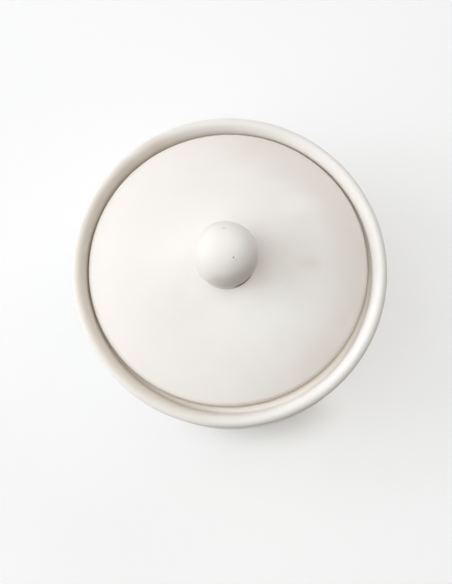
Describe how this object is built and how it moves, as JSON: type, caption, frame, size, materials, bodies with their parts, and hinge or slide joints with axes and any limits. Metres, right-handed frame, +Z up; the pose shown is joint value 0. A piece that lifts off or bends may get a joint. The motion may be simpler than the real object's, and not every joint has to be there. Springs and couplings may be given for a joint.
{
  "type": "lidded jar",
  "caption": "Round stoneware jar with a rounded lip, a domed lid let down inside the lip onto a ledge, and a ball knob on the lid.",
  "frame": {"origin": "on the jar's axis, in the plane of its foot ring", "axes": "+Z up along the jar's axis; the jar is round, so X and Y are free, and the loose lid lies a little towards -X in its ledge"},
  "size_m": [0.1544, 0.1544, 0.134],
  "materials": {
    "jar_glaze": "satin",
    "lid_glaze": "satin"
  },
  "bodies": {
    "jar": {"jar_body": "jar_glaze"},
    "lid_assembly": {"lid": "lid_glaze", "lid_knob": "lid_glaze"}
  },
  "joints": [
    {"name": "lid_lift", "type": "slide", "parent": "jar", "child": "lid_assembly", "axis": [0, 0, 1], "range_m": [0, 0.08]}
  ]
}
